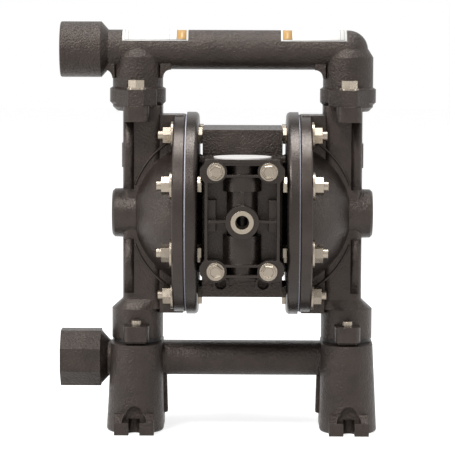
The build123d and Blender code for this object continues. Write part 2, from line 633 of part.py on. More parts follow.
with BuildPart() as outlet_manifold:
    with BuildSketch(pipe_plane(OUTLET_PIPE_Z)):
        with BuildLine():
            Polyline(
                (PORT_END_X, 0),
                (PORT_END_X, PORT_RADIUS - 0.8),
                (PORT_END_X + 0.8, PORT_RADIUS),
                (PORT_FACE_X, PORT_RADIUS),
                (PORT_NECK_X, OUTLET_PIPE_RADIUS),
                (COLUMN_X, OUTLET_PIPE_RADIUS),
            )
            RadiusArc((COLUMN_X, OUTLET_PIPE_RADIUS), (COLUMN_X + OUTLET_PIPE_RADIUS, 0), OUTLET_PIPE_RADIUS)
            Line((COLUMN_X + OUTLET_PIPE_RADIUS, 0), (PORT_END_X, 0))
        make_face()
    revolve(axis=Axis((0, 0, OUTLET_PIPE_Z), (1, 0, 0)))
    for x in (-COLUMN_X, COLUMN_X):
        with BuildSketch(column_plane(x)):
            with BuildLine():
                Polyline(
                    (0, OUTLET_JOINT_Z),
                    (RING_RADIUS - 2.5, OUTLET_JOINT_Z),
                    (RING_RADIUS, OUTLET_JOINT_Z + 2.5),
                    (RING_RADIUS, OUTLET_JOINT_Z + RING_HEIGHT),
                    (NOZZLE_RADIUS, OUTLET_JOINT_Z + RING_HEIGHT + 1.5),
                    (NOZZLE_RADIUS, NOZZLE_SHOULDER_Z),
                    (NOZZLE_SLOPE_RADIUS, NOZZLE_SHOULDER_Z + NOZZLE_SLOPE_RISE),
                    (0, NOZZLE_SHOULDER_Z + NOZZLE_CROWN_RISE),
                    close=True,
                )
            make_face()
        revolve(axis=column_axis(x))
        with BuildSketch(Plane.XY.offset(OUTLET_JOINT_Z)):
            with Locations((x, 0)):
                add(lug_outline.sketch)
        extrude(amount=RING_HEIGHT)
    # gussets with hollow edges, where the pipe and the port meet the nozzles
    gusset_top = OUTLET_PIPE_Z - OUTLET_PIPE_RADIUS * 0.5
    for x, way in ((-COLUMN_X, 1), (COLUMN_X, -1), (-COLUMN_X, -1)):
        root = x + way * (NOZZLE_RADIUS - 2)
        face = x + way * NOZZLE_RADIUS
        pipe_bottom = OUTLET_PIPE_Z - OUTLET_PIPE_RADIUS
        with BuildSketch(Plane(origin=(0, GUSSET_HALF_DEPTH, 0), x_dir=(1, 0, 0), z_dir=(0, -1, 0))):
            with BuildLine():
                Polyline(
                    (face, pipe_bottom - NOZZLE_FILLET),
                    (root, pipe_bottom - NOZZLE_FILLET),
                    (root, gusset_top),
                    (face + way * NOZZLE_FILLET, gusset_top),
                    (face + way * NOZZLE_FILLET, pipe_bottom),
                )
                ThreePointArc(
                    (face + way * NOZZLE_FILLET, pipe_bottom),
                    (face + way * NOZZLE_FILLET * HOLLOW_ARC, pipe_bottom - NOZZLE_FILLET * HOLLOW_ARC),
                    (face, pipe_bottom - NOZZLE_FILLET),
                )
            make_face()
        extrude(amount=2 * GUSSET_HALF_DEPTH)
    # bore along the pipe, thread in the port, ball chambers and bolt holes
    with BuildSketch(Plane(origin=(PORT_END_X, 0, OUTLET_PIPE_Z), x_dir=(0, 1, 0), z_dir=(1, 0, 0))):
        Circle(OUTLET_BORE)
    extrude(amount=COLUMN_X - PORT_END_X, mode=Mode.SUBTRACT)
    with BuildSketch(Plane(origin=(PORT_END_X, 0, OUTLET_PIPE_Z), x_dir=(0, 1, 0), z_dir=(1, 0, 0))):
        Circle(PORT_THREAD_RADIUS)
    extrude(amount=PORT_THREAD_LENGTH, mode=Mode.SUBTRACT)
    for x in (-COLUMN_X, COLUMN_X):
        with BuildSketch(column_plane(x, OUTLET_SEAT_Z)):
            with BuildLine():
                Polyline(
                    (0, -SEAT_RIM_HEIGHT),
                    (SEAT_RIM_RADIUS + NEST_FIT, -SEAT_RIM_HEIGHT),
                    (SEAT_RIM_RADIUS + NEST_FIT, SEAT_RIM_HEIGHT),
                    (BALL_CHAMBER_RADIUS, SEAT_RIM_HEIGHT),
                    (BALL_CHAMBER_RADIUS, CAGE_TOP - CAGE_DROP),
                    (SEAT_BORE, CAGE_TOP),
                    (SEAT_BORE, OUTLET_PIPE_Z - OUTLET_SEAT_Z),
                    (0, OUTLET_PIPE_Z - OUTLET_SEAT_Z + SEAT_BORE / 2),
                    close=True,
                )
            make_face()
        revolve(axis=column_axis(x), mode=Mode.SUBTRACT)
        with BuildSketch(Plane.XY.offset(OUTLET_JOINT_Z)):
            with Locations((x, -OUTLET_BOLT_Y), (x, OUTLET_BOLT_Y)):
                Circle(BOLT_HOLE_RADIUS)
        extrude(amount=RING_HEIGHT, mode=Mode.SUBTRACT)
save(outlet_manifold, "outlet_manifold")

# ---------------------------------------------------------------- inlet manifold and legs
POCKET_TOP_Z = INLET_JOINT_Z - BOLT_PLATE
with BuildPart() as inlet_manifold:
    # pipe, from the neck of the port to the far leg
    with BuildSketch(Plane(origin=(PORT_NECK_X, 0, INLET_PIPE_Z), x_dir=(0, 1, 0), z_dir=(1, 0, 0))):
        RectangleRounded(INLET_PIPE_DEPTH, INLET_PIPE_HEIGHT, INLET_PIPE_HEIGHT / 2 - 1)
    extrude(amount=COLUMN_X - PORT_NECK_X)
    # eight sided port boss
    with BuildSketch(Plane(origin=(PORT_END_X, 0, INLET_PIPE_Z), x_dir=(0, 1, 0), z_dir=(1, 0, 0))):
        RegularPolygon(PORT_RADIUS, 8, major_radius=False, rotation=22.5)
    extrude(amount=PORT_FACE_X - PORT_END_X)
    with BuildSketch(pipe_plane(INLET_PIPE_Z)):
        with BuildLine():
            Polyline(
                (PORT_FACE_X, 0),
                (PORT_FACE_X, PORT_RADIUS - 0.5),
                (PORT_NECK_X + 2, INLET_PIPE_HEIGHT / 2),
                (PORT_NECK_X + 2, 0),
                close=True,
            )
        make_face()
    revolve(axis=Axis((0, 0, INLET_PIPE_Z), (1, 0, 0)))
    for x in (-COLUMN_X, COLUMN_X):
        # tapered leg
        with BuildSketch(Plane.XY):
            with Locations((copysign(FOOT_X, x), 0)):
                SlotOverall(LEG_DEPTH, LEG_FOOT_WIDTH, rotation=90)
        with BuildSketch(Plane.XY.offset(INLET_JOINT_Z)):
            with Locations((x, 0)):
                SlotOverall(LEG_DEPTH, LEG_TOP_WIDTH, rotation=90)
        loft()
    fillet(faces().sort_by(Axis.Z)[0].edges() + faces().sort_by(Axis.Z)[1].edges(), LEG_EDGE_ROUND)
    for x in (-COLUMN_X, COLUMN_X):
        # rib down the inner side, from the pipe
        inward = -copysign(1, x)
        top_x = x + inward * LEG_TOP_WIDTH / 2
        foot_x = copysign(FOOT_X, x) + inward * LEG_FOOT_WIDTH / 2
        with BuildSketch(Plane(origin=(0, LEG_RIB_HALF_DEPTH, 0), x_dir=(1, 0, 0), z_dir=(0, -1, 0))):
            with BuildLine():
                Polyline(
                    (top_x - 3 * inward * LEG_RIB, INLET_PIPE_Z),
                    (top_x + inward * LEG_RIB, INLET_PIPE_Z),
                    (foot_x + inward * LEG_RIB, LEG_RIB_FOOT),
                    (foot_x - inward * LEG_RIB, LEG_RIB_FOOT - 2),
                    close=True,
                )
            make_face()
        extrude(amount=2 * LEG_RIB_HALF_DEPTH)
    for x in (-COLUMN_X, COLUMN_X):
        foot_x = copysign(FOOT_X, x)
        # hollow under the pipe
        with BuildSketch(Plane.XY):
            with Locations((foot_x, 0)):
                SlotOverall(LEG_DEPTH - 2 * LEG_WALL, LEG_FOOT_WIDTH - 2 * LEG_WALL, rotation=90)
        extrude(amount=LEG_HOLLOW_Z, taper=1.5, mode=Mode.SUBTRACT)
        # pockets for the heads of the bolts
        pocket_length = 2 * (FLANGE_HEAD_RADIUS + NEST_FIT)
        for way in (-1, 1):
            with BuildSketch(Plane.XY.offset(LEG_HOLLOW_Z - 1)):
                with Locations((x, way * INLET_BOLT_Y)):
                    RectangleRounded(POCKET_WIDTH, pocket_length, 3)
            extrude(amount=POCKET_TOP_Z - LEG_HOLLOW_Z + 1, mode=Mode.SUBTRACT)
        # feet, front and back, each with an open slot
        for way in (-1, 1):
            with BuildSketch(Plane(origin=(foot_x - FOOT_WIDTH / 2, 0, 0), x_dir=(0, 1, 0), z_dir=(1, 0, 0))):
                with BuildLine():
                    Polyline(
                        (way * FOOT_INNER, 0),
                        (way * FOOT_FRONT, 0),
                        (way * FOOT_FRONT, FOOT_HEIGHT),
                        (way * (LEG_DEPTH / 2 - 1), FOOT_SLOPE_Z),
                        (way * (LEG_DEPTH / 2 - LEG_WALL), FOOT_SLOPE_Z),
                        (way * FOOT_INNER, FOOT_HEIGHT),
                        close=True,
                    )
                make_face()
            extrude(amount=FOOT_WIDTH)
            with BuildSketch(Plane.XY):
                with Locations((foot_x, way * (SLOT_END + FOOT_FRONT + SLOT_WIDTH / 2) / 2)):
                    SlotOverall(FOOT_FRONT - SLOT_END + 1.5 * SLOT_WIDTH, SLOT_WIDTH, rotation=90)
            extrude(amount=FOOT_HEIGHT + 2, mode=Mode.SUBTRACT)
            spotface_y = way * SPOTFACE_Y
            with BuildSketch(Plane(origin=(foot_x, spotface_y, FOOT_HEIGHT), x_dir=(1, 0, 0), z_dir=(0, -1, 0))):
                with BuildLine():
                    Polyline(
                        (0, SPOTFACE_RADIUS * 1.5),
                        (0, 0),
                        (SPOTFACE_RADIUS, 0),
                        (SPOTFACE_RADIUS, SPOTFACE_RADIUS / 2),
                    )
                    RadiusArc(
                        (SPOTFACE_RADIUS, SPOTFACE_RADIUS / 2), (0, SPOTFACE_RADIUS * 1.5), -SPOTFACE_RADIUS
                    )
                make_face()
            revolve(axis=Axis((foot_x, spotface_y, 0), (0, 0, 1)), mode=Mode.SUBTRACT)
        # ball seat bore and bolt holes
        with BuildSketch(Plane.XY.offset(INLET_JOINT_Z)):
            with Locations((x, 0)):
                Circle(SEAT_BORE)
        extrude(amount=INLET_PIPE_Z - INLET_JOINT_Z, mode=Mode.SUBTRACT)
        with BuildSketch(Plane.XY.offset(INLET_JOINT_Z)):
            with Locations((x, -INLET_BOLT_Y), (x, INLET_BOLT_Y)):
                Circle(BOLT_HOLE_RADIUS)
        extrude(amount=-BOLT_PLATE, mode=Mode.SUBTRACT)
    with BuildSketch(Plane(origin=(PORT_END_X, 0, INLET_PIPE_Z), x_dir=(0, 1, 0), z_dir=(1, 0, 0))):
        Circle(INLET_BORE)
    extrude(amount=COLUMN_X - PORT_END_X + 6, mode=Mode.SUBTRACT)
    with BuildSketch(Plane(origin=(PORT_END_X, 0, INLET_PIPE_Z), x_dir=(0, 1, 0), z_dir=(1, 0, 0))):
        Circle(PORT_THREAD_RADIUS)
    extrude(amount=PORT_THREAD_LENGTH, mode=Mode.SUBTRACT)
save(inlet_manifold, "inlet_manifold")

# ---------------------------------------------------------------- check valves
COLUMNS = {
    "outlet_left": (-COLUMN_X, OUTLET_SEAT_Z),
    "outlet_right": (COLUMN_X, OUTLET_SEAT_Z),
    "inlet_left": (-COLUMN_X, INLET_SEAT_Z),
    "inlet_right": (COLUMN_X, INLET_SEAT_Z),
}
for column, (x, z) in COLUMNS.items():
    with BuildPart() as valve_seat:
        with BuildSketch(column_plane(x, z)):
            with BuildLine():
                Polyline(
                    (SEAT_BORE, 0),
                    (SEAT_RIM_RADIUS, 0),
                    (SEAT_RIM_RADIUS, SEAT_RIM_HEIGHT),
                    (BALL_CHAMBER_RADIUS - NEST_FIT, SEAT_RIM_HEIGHT),
                    (BALL_CHAMBER_RADIUS - NEST_FIT, SEAT_RIM_HEIGHT + SEAT_BODY_HEIGHT),
                    (SEAT_CONE_RADIUS, SEAT_RIM_HEIGHT + SEAT_BODY_HEIGHT),
                    (SEAT_BORE, SEAT_CONE_START),
                    close=True,
                )
            make_face()
        revolve(axis=column_axis(x))
    save(valve_seat, column + "_seat")
    with BuildPart() as ball:
        with Locations((x, 0, z + BALL_ABOVE_SEAT)):
            Sphere(BALL_RADIUS)
    save(ball, column + "_ball")

# ---------------------------------------------------------------- rim bolts, nuts and washers
hex_across_corners = NUT_ACROSS_FLATS / sqrt(3)
with BuildPart() as cap_bolts:
    with BuildSketch(across_rod(AIR_FLANGE_INNER_X)):
        with bolt_ring():
            RegularPolygon(hex_across_corners, 6)
    extrude(amount=-LOW_HEAD_HEIGHT)
    with BuildSketch(across_rod(AIR_FLANGE_INNER_X)):
        with bolt_ring():
            Circle(BOLT_RADIUS)
    extrude(amount=BOLT_TIP_X - AIR_FLANGE_INNER_X)
save_pair(cap_bolts, "cap_bolts")

with BuildPart() as cap_washers:
    with BuildSketch(across_rod(FLUID_FLANGE_X)):
        with bolt_ring():
            Circle(WASHER_RADIUS)
            Circle(BOLT_HOLE_RADIUS, mode=Mode.SUBTRACT)
    extrude(amount=WASHER_THICKNESS)
save_pair(cap_washers, "cap_washers")

with BuildPart() as cap_nuts:
    with BuildSketch(across_rod(FLUID_FLANGE_X + WASHER_THICKNESS)):
        with bolt_ring():
            RegularPolygon(hex_across_corners, 6)
            Circle(BOLT_RADIUS + SLIDING_FIT, mode=Mode.SUBTRACT)
    extrude(amount=NUT_HEIGHT)
save_pair(cap_nuts, "cap_nuts")

# ---------------------------------------------------------------- manifold bolts
OUTLET_HEAD_Z = OUTLET_JOINT_Z + RING_HEIGHT
with BuildPart() as outlet_manifold_bolts:
    with BuildSketch(Plane.XY.offset(OUTLET_HEAD_Z)):
        with GridLocations(2 * COLUMN_X, 2 * OUTLET_BOLT_Y, 2, 2):
            Circle(FLANGE_HEAD_RADIUS)
    extrude(amount=FLANGE_HEAD_THICKNESS)
    with BuildSketch(Plane.XY.offset(OUTLET_HEAD_Z)):
        with GridLocations(2 * COLUMN_X, 2 * OUTLET_BOLT_Y, 2, 2):
            RegularPolygon(hex_across_corners, 6, rotation=30)
    extrude(amount=FLANGE_HEAD_THICKNESS + HEX_HEAD_HEIGHT)
    with BuildSketch(Plane.XY.offset(OUTLET_HEAD_Z)):
        with GridLocations(2 * COLUMN_X, 2 * OUTLET_BOLT_Y, 2, 2):
            Circle(BOLT_RADIUS)
    extrude(amount=-RING_HEIGHT - LUG_HEIGHT)
save(outlet_manifold_bolts, "outlet_manifold_bolts")

with BuildPart() as inlet_manifold_bolts:
    with BuildSketch(Plane.XY.offset(POCKET_TOP_Z)):
        with GridLocations(2 * COLUMN_X, 2 * INLET_BOLT_Y, 2, 2):
            RegularPolygon(hex_across_corners, 6, rotation=30)
    extrude(amount=-HEX_HEAD_HEIGHT)
    with BuildSketch(Plane.XY.offset(POCKET_TOP_Z)):
        with GridLocations(2 * COLUMN_X, 2 * INLET_BOLT_Y, 2, 2):
            Circle(BOLT_RADIUS)
    extrude(amount=CAP_FOOT_Z + LUG_HEIGHT + BOLT_POINT - POCKET_TOP_Z)
save(inlet_manifold_bolts, "inlet_manifold_bolts")

# ---------------------------------------------------------------- diaphragms
ROLL_OUTER = CHAMBER_RADIUS - 3
ROLL_MIDDLE = (ROLL_OUTER + CLAMP_RADIUS) / 2


def diaphragm_outline(inner_x, thickness, rim_radius):
    """Half section of a moulded diaphragm: flat clamped middle, bowed free ring, flat rim."""
    hole = CLAMP_SCREW_RADIUS + SLIDING_FIT
    outer_x = inner_x + thickness
    Line((inner_x, hole), (inner_x, CLAMP_RADIUS))
    ThreePointArc((inner_x, CLAMP_RADIUS), (inner_x + ROLL_HEIGHT, ROLL_MIDDLE), (inner_x, ROLL_OUTER))
    Polyline((inner_x, ROLL_OUTER), (inner_x, rim_radius), (outer_x, rim_radius), (outer_x, ROLL_OUTER))
    ThreePointArc((outer_x, ROLL_OUTER), (outer_x + ROLL_HEIGHT, ROLL_MIDDLE), (outer_x, CLAMP_RADIUS))
    Polyline((outer_x, CLAMP_RADIUS), (outer_x, hole), (inner_x, hole))


with BuildPart() as diaphragm:
    with BuildSketch(ROD_PLANE):
        with BuildLine():
            diaphragm_outline(AIR_FLANGE_OUTER_X, DIAPHRAGM_THICKNESS, FLUID_FLANGE_RADIUS - DIAPHRAGM_SETBACK)
        make_face()
    revolve(axis=ROD_AXIS)
    with BuildSketch(across_rod(AIR_FLANGE_OUTER_X)):
        with bolt_ring():
            Circle(BOLT_HOLE_RADIUS)
    extrude(amount=DIAPHRAGM_THICKNESS, mode=Mode.SUBTRACT)
save_pair(diaphragm, "diaphragm")

with BuildPart() as backup_diaphragm:
    with BuildSketch(ROD_PLANE):
        with BuildLine():
            diaphragm_outline(AIR_FLANGE_OUTER_X - BACKUP_THICKNESS, BACKUP_THICKNESS, BACKUP_RADIUS - NEST_FIT)
        make_face()
    revolve(axis=ROD_AXIS)
save_pair(backup_diaphragm, "backup_diaphragm")

# ---------------------------------------------------------------- moving group
with BuildPart() as diaphragm_rod:
    with BuildSketch(across_rod(-AIR_WASHER_X)):
        Circle(ROD_RADIUS)
    extrude(amount=2 * AIR_WASHER_X)
    for side in (-1, 1):
        with BuildSketch(across_rod(side * AIR_WASHER_X)):
            Circle(CLAMP_SCREW_RADIUS + SLIDING_FIT)
        extrude(amount=-side * (CLAMP_SCREW_LENGTH - AIR_WASHER_THICKNESS), mode=Mode.SUBTRACT)
save(diaphragm_rod, "diaphragm_rod")

with BuildPart() as air_side_washer:
    with BuildSketch(ROD_PLANE):
        with BuildLine():
            Polyline(
                (AIR_WASHER_X, CLAMP_SCREW_RADIUS + SLIDING_FIT),
                (AIR_WASHER_X, CLAMP_RADIUS - 2),
                (AIR_WASHER_X + 2, CLAMP_RADIUS),
                (AIR_WASHER_X + AIR_WASHER_THICKNESS, CLAMP_RADIUS),
                (AIR_WASHER_X + AIR_WASHER_THICKNESS, CLAMP_SCREW_RADIUS + SLIDING_FIT),
                close=True,
            )
        make_face()
    revolve(axis=ROD_AXIS)
save_pair(air_side_washer, "air_side_washer")

FLUID_WASHER_X = FLUID_FACE_X + FLUID_WASHER_THICKNESS
with BuildPart() as fluid_side_washer:
    with BuildSketch(ROD_PLANE):
        with BuildLine():
            Polyline(
                (FLUID_FACE_X, CLAMP_SCREW_RADIUS + SLIDING_FIT),
                (FLUID_FACE_X, CLAMP_RADIUS),
                (FLUID_FACE_X + 2, CLAMP_RADIUS),
                (FLUID_WASHER_X, CLAMP_RADIUS - 8),
                (FLUID_WASHER_X, CLAMP_SCREW_RADIUS + SLIDING_FIT),
                close=True,
            )
        make_face()
    revolve(axis=ROD_AXIS)
save_pair(fluid_side_washer, "fluid_side_washer")

with BuildPart() as diaphragm_screw:
    with BuildSketch(across_rod(FLUID_WASHER_X)):
        RegularPolygon(CLAMP_HEAD_RADIUS, 6)
    extrude(amount=CLAMP_HEAD_HEIGHT)
    with BuildSketch(across_rod(FLUID_WASHER_X)):
        Circle(CLAMP_SCREW_RADIUS)
    extrude(amount=-CLAMP_SCREW_LENGTH)
save_pair(diaphragm_screw, "diaphragm_screw")

with BuildPart() as rod_bushing:
    with BuildSketch(across_rod(AIR_CAP_FLOOR_X)):
        Circle(BUSHING_RADIUS)
        Circle(ROD_RADIUS + SLIDING_FIT, mode=Mode.SUBTRACT)
    extrude(amount=-BUSHING_LENGTH)
save_pair(rod_bushing, "rod_bushing")

with BuildPart() as pilot_sleeve:
    with BuildSketch(across_rod(-AIR_CAP_FLOOR_X)):
        with Locations((0, -PILOT_DROP)):
            Circle(PILOT_SLEEVE_RADIUS - SLIDING_FIT)
            Circle(PILOT_RADIUS + SLIDING_FIT, mode=Mode.SUBTRACT)
    extrude(amount=2 * AIR_CAP_FLOOR_X)
save(pilot_sleeve, "pilot_sleeve")

with BuildPart() as pilot_rod:
    with BuildSketch(across_rod(-PILOT_END_X)):
        with Locations((0, -PILOT_DROP)):
            Circle(PILOT_RADIUS)
    extrude(amount=2 * PILOT_END_X)
save(pilot_rod, "pilot_rod")

# ---------------------------------------------------------------- air valve
VALVE_CAVITY_HALF = 40.0
SLIDE_POCKET_HALF_WIDTH = 12.0
SLIDE_POCKET_HALF_HEIGHT = 26.0
PLATE_HALF_WIDTH = 15.0
PLATE_HALF_HEIGHT = 28.0
PLATE_THICKNESS = 1.6
SLIDE_HALF_WIDTH = 9.0
SLIDE_HALF_HEIGHT = 13.0
SPOOL_WAIST_RADIUS = 5.5
SPOOL_WAIST_HALF = 6.5
TONGUE_HALF_WIDTH = 3.0
PLUG_RADIUS = 12.0
PLUG_DEPTH = BODY_STEP - VALVE_CAVITY_HALF
UPPER_HOUSING = (24.0, 37.0)  # heights over the rod between which the spool housing is widest
LOWER_HOUSING = (-36.0, -12.0)
RIB_HEIGHTS = (BODY_STEP - 4, 37.0, 0.0, -36.0, -44.5)


def slab(x_low, x_high, y_back, y_front, z_low, z_high):
    """Block between two depths, its heights counted from the rod."""
    with Locations(((x_low + x_high) / 2, (y_back + y_front) / 2, ROD_Z + (z_low + z_high) / 2)):
        Box(x_high - x_low, y_back - y_front, z_high - z_low)


with BuildPart() as valve_block:
    slab(-BLOCK_HALF_WIDTH, BLOCK_HALF_WIDTH, BLOCK_BACK_Y, BLOCK_BASE_Y, -BLOCK_BOTTOM, BODY_STEP)
    slab(-BLOCK_HALF_WIDTH, BLOCK_HALF_WIDTH, BLOCK_BASE_Y, BLOCK_FRONT_Y, BODY_STEP - 3, BODY_STEP)
    for side in (-1, 1):
        outer = side * BLOCK_HALF_WIDTH
        inner = side * (BLOCK_HALF_WIDTH - RAIL)
        slab(min(outer, inner), max(outer, inner), BLOCK_BASE_Y, BLOCK_FRONT_Y, -BLOCK_BOTTOM, BODY_STEP)
    for height in RIB_HEIGHTS:
        slab(
            -BLOCK_HALF_WIDTH, BLOCK_HALF_WIDTH, BLOCK_BASE_Y, RIB_FRONT_Y, height - RIB / 2, height + RIB / 2
        )
    slab(-RIB * 0.7, RIB * 0.7, BLOCK_BASE_Y, RIB_FRONT_Y, 0, UPPER_HOUSING[0])
    # spool housing, waisted behind the air inlet
    for radius, low, high in (
        (SPOOL_HOUSING_RADIUS, *UPPER_HOUSING),
        (SPOOL_HOUSING_RADIUS, *LOWER_HOUSING),
        (SPOOL_HOUSING_RADIUS - 3, -BLOCK_BOTTOM, BODY_STEP),
        (SPOOL_NECK_RADIUS, -BLOCK_BOTTOM, BODY_STEP),
    ):
        with BuildSketch(Plane.XY.offset(ROD_Z + low)):
            with Locations((0, SPOOL_Y)):
                Circle(radius)
        extrude(amount=high - low)
    # screw posts with faceted ears
    with BuildSketch(facing_front(BLOCK_BACK_Y)):
        with GridLocations(2 * BLOCK_SCREW_X, 2 * BLOCK_SCREW_Z, 2, 2):
            Circle(POST_RADIUS)
    extrude(amount=BLOCK_BACK_Y - BLOCK_FRONT_Y)
    for side in (-1, 1):
        for way in (-1, 1):
            with BuildSketch(facing_front(BLOCK_BACK_Y)):
                with BuildLine():
                    Polyline(
                        (side * BLOCK_SCREW_X, way * (BLOCK_SCREW_Z + POST_RADIUS - 2)),
                        (side * BLOCK_HALF_WIDTH, way * (BLOCK_SCREW_Z + POST_RADIUS - 2)),
                        (side * EAR_X, way * (BLOCK_SCREW_Z + 2)),
                        (side * EAR_X, way * (BLOCK_SCREW_Z - 4)),
                        (side * BLOCK_HALF_WIDTH, way * (BLOCK_SCREW_Z - POST_RADIUS)),
                        (side * BLOCK_SCREW_X, way * (BLOCK_SCREW_Z - POST_RADIUS)),
                        close=True,
                    )
                make_face()
            extrude(amount=BLOCK_BACK_Y - BLOCK_FRONT_Y)
        # pads cast between the rail and the housing
        pad_inner = side * (BLOCK_HALF_WIDTH - SIDE_PAD_WIDTH)
        pad_outer = side * (BLOCK_HALF_WIDTH - RAIL)
        slab(min(pad_inner, pad_outer), max(pad_inner, pad_outer), BLOCK_BASE_Y, PAD_FRONT_Y, 0, SIDE_PAD_TOP)
        slab(min(pad_inner, pad_outer), max(pad_inner, pad_outer), BLOCK_BASE_Y, PAD_FRONT_Y, -SIDE_PAD_BOTTOM, 0)
    # air inlet boss
    with BuildSketch(facing_front(BLOCK_BASE_Y)):
        Circle(INLET_BOSS_RADIUS)
    extrude(amount=BLOCK_BASE_Y - INLET_BOSS_Y)
    # spool bore with its plug, slide pocket and plate seat
    with BuildSketch(Plane.XY.offset(ROD_Z - VALVE_CAVITY_HALF)):
        with Locations((0, SPOOL_Y)):
            Circle(SPOOL_RADIUS + SLIDING_FIT)
    extrude(amount=2 * VALVE_CAVITY_HALF, mode=Mode.SUBTRACT)
    with BuildSketch(Plane.XY.offset(ROD_Z + VALVE_CAVITY_HALF)):
        with Locations((0, SPOOL_Y)):
            Circle(PLUG_RADIUS)
    extrude(amount=PLUG_DEPTH, mode=Mode.SUBTRACT)
    with BuildSketch(facing_front(BLOCK_BACK_Y)):
        Rectangle(2 * SLIDE_POCKET_HALF_WIDTH, 2 * SLIDE_POCKET_HALF_HEIGHT)
    extrude(amount=BLOCK_BACK_Y - SPOOL_Y, mode=Mode.SUBTRACT)
    with BuildSketch(facing_front(BLOCK_BACK_Y)):
        Rectangle(2 * (PLATE_HALF_WIDTH + NEST_FIT), 2 * (PLATE_HALF_HEIGHT + NEST_FIT))
    extrude(amount=PLATE_THICKNESS, mode=Mode.SUBTRACT)
    # air way from the inlet, and the seat of its threaded insert
    with BuildSketch(facing_front(INLET_BOSS_Y)):
        Circle(AIR_WAY_RADIUS)
    extrude(amount=INLET_BOSS_Y - SPOOL_Y, mode=Mode.SUBTRACT)
    with BuildSketch(facing_front(INLET_BOSS_Y)):
        Circle(INLET_INSERT_RADIUS)
    extrude(amount=-AIR_THREAD_LENGTH, mode=Mode.SUBTRACT)
    with BuildSketch(facing_front(BLOCK_FRONT_Y)):
        with GridLocations(2 * BLOCK_SCREW_X, 2 * BLOCK_SCREW_Z, 2, 2):
            Circle(BLOCK_SCREW_RADIUS + NEST_FIT)
    extrude(amount=BLOCK_FRONT_Y - BLOCK_BACK_Y, mode=Mode.SUBTRACT)
save(valve_block, "valve_block")

with BuildPart() as valve_gasket:
    with BuildSketch(facing_front(BODY_FRONT_Y)):
        with Locations((0, (BODY_STEP - LIP_HEIGHT - BLOCK_BOTTOM) / 2)):
            Rectangle(2 * BLOCK_HALF_WIDTH, BODY_STEP - LIP_HEIGHT + BLOCK_BOTTOM)
        with GridLocations(2 * BLOCK_SCREW_X, 2 * BLOCK_SCREW_Z, 2, 2):
            Circle(BLOCK_SCREW_RADIUS + NEST_FIT, mode=Mode.SUBTRACT)
        with Locations((-TEST_PORT_X, -TEST_PORT_Z), (TEST_PORT_X, -TEST_PORT_Z)):
            Circle(TEST_PORT_RING + NEST_FIT, mode=Mode.SUBTRACT)
    extrude(amount=GASKET_THICKNESS)
save(valve_gasket, "valve_gasket")

with BuildPart() as air_inlet_insert:
    with BuildSketch(facing_front(INLET_BOSS_Y + AIR_THREAD_LENGTH)):
        Circle(INLET_INSERT_RADIUS)
        Circle(AIR_THREAD_RADIUS, mode=Mode.SUBTRACT)
    extrude(amount=AIR_THREAD_LENGTH + INSERT_STANDOUT)
save(air_inlet_insert, "air_inlet_insert")

with BuildPart() as valve_block_screws:
    with BuildSketch(facing_front(BLOCK_FRONT_Y)):
        with GridLocations(2 * BLOCK_SCREW_X, 2 * BLOCK_SCREW_Z, 2, 2):
            Circle(BLOCK_HEAD_RADIUS)
    extrude(amount=BLOCK_WASHER_THICKNESS)
    with BuildSketch(facing_front(BLOCK_FRONT_Y)):
        with GridLocations(2 * BLOCK_SCREW_X, 2 * BLOCK_SCREW_Z, 2, 2):
            RegularPolygon(BLOCK_HEX_RADIUS, 6)
    extrude(amount=BLOCK_HEAD_HEIGHT)
    with BuildSketch(facing_front(BLOCK_FRONT_Y)):
        with GridLocations(2 * BLOCK_SCREW_X, 2 * BLOCK_SCREW_Z, 2, 2):
            Circle(BLOCK_SCREW_RADIUS - NEST_FIT)
    extrude(amount=-BLOCK_FRONT - BLOCK_SCREW_REACH)
save(valve_block_screws, "valve_block_screws")

with BuildPart() as spool_plug:
    with BuildSketch(Plane.XY.offset(ROD_Z + VALVE_CAVITY_HALF)):
        with Locations((0, SPOOL_Y)):
            Circle(PLUG_RADIUS - SLIDING_FIT)
    extrude(amount=PLUG_DEPTH)
save(spool_plug, "spool_plug")

with BuildPart() as top_disc:
    with BuildSketch(Plane.XY.offset(DECK_Z)):
        with Locations((0, DISC_Y)):
            Circle(DISC_RADIUS)
    extrude(amount=DISC_THICKNESS)
save(top_disc, "top_disc")

with BuildPart() as valve_plate:
    with BuildSketch(facing_front(BLOCK_BACK_Y)):
        Rectangle(2 * PLATE_HALF_WIDTH, 2 * PLATE_HALF_HEIGHT)
    extrude(amount=PLATE_THICKNESS)
save(valve_plate, "valve_plate")

with BuildPart() as main_spool:
    with BuildSketch(Plane.XY.offset(ROD_Z - SPOOL_HALF_LENGTH)):
        with Locations((0, SPOOL_Y)):
            Circle(SPOOL_RADIUS)
    extrude(amount=SPOOL_HALF_LENGTH - SPOOL_WAIST_HALF)
    with BuildSketch(Plane.XY.offset(ROD_Z - SPOOL_WAIST_HALF)):
        with Locations((0, SPOOL_Y)):
            Circle(SPOOL_WAIST_RADIUS)
    extrude(amount=2 * SPOOL_WAIST_HALF)
    with BuildSketch(Plane.XY.offset(ROD_Z + SPOOL_WAIST_HALF)):
        with Locations((0, SPOOL_Y)):
            Circle(SPOOL_RADIUS)
    extrude(amount=SPOOL_HALF_LENGTH - SPOOL_WAIST_HALF)
save(main_spool, "main_spool")

